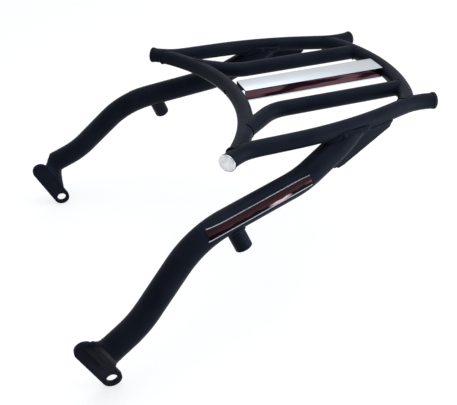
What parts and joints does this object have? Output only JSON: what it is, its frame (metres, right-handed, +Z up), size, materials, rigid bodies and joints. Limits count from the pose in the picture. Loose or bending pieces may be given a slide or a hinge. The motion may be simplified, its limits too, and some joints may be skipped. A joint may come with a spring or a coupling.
{
  "type": "top box mount",
  "caption": "Bent tube rear rack that bolts to a motorbike's tail and carries a top box, with two arms, a bowed platform and an aluminium centre bar.",
  "frame": {"origin": "middle of the centre bar's top face, on the mirror plane", "axes": "+X to the bike's rear, +Y to its right, +Z up; the platform is level"},
  "size_m": [0.3977, 0.383, 0.2068],
  "materials": {
    "powder_black": "satin",
    "bright_aluminium": "brushed",
    "turned_aluminium": "turned",
    "mirror_strip": "polished"
  },
  "bodies": {
    "root": {"front_cross_tube": "powder_black", "rear_cross_tube": "powder_black", "centre_bar": "bright_aluminium", "left_side_rail": "powder_black", "right_side_rail": "powder_black", "left_inner_rail": "powder_black", "right_inner_rail": "powder_black", "left_arm": "powder_black", "right_arm": "powder_black", "left_arm_collar": "powder_black", "right_arm_collar": "powder_black", "left_lug_plate": "powder_black", "right_lug_plate": "powder_black", "left_stub_boss": "powder_black", "right_stub_boss": "powder_black", "left_gusset": "powder_black", "right_gusset": "powder_black", "left_arm_label": "mirror_strip", "right_arm_label": "mirror_strip", "left_bar_strip": "mirror_strip", "right_bar_strip": "mirror_strip", "left_front_cap": "turned_aluminium", "right_front_cap": "turned_aluminium", "left_rear_cap": "powder_black", "right_rear_cap": "powder_black"}
  },
  "joints": []
}
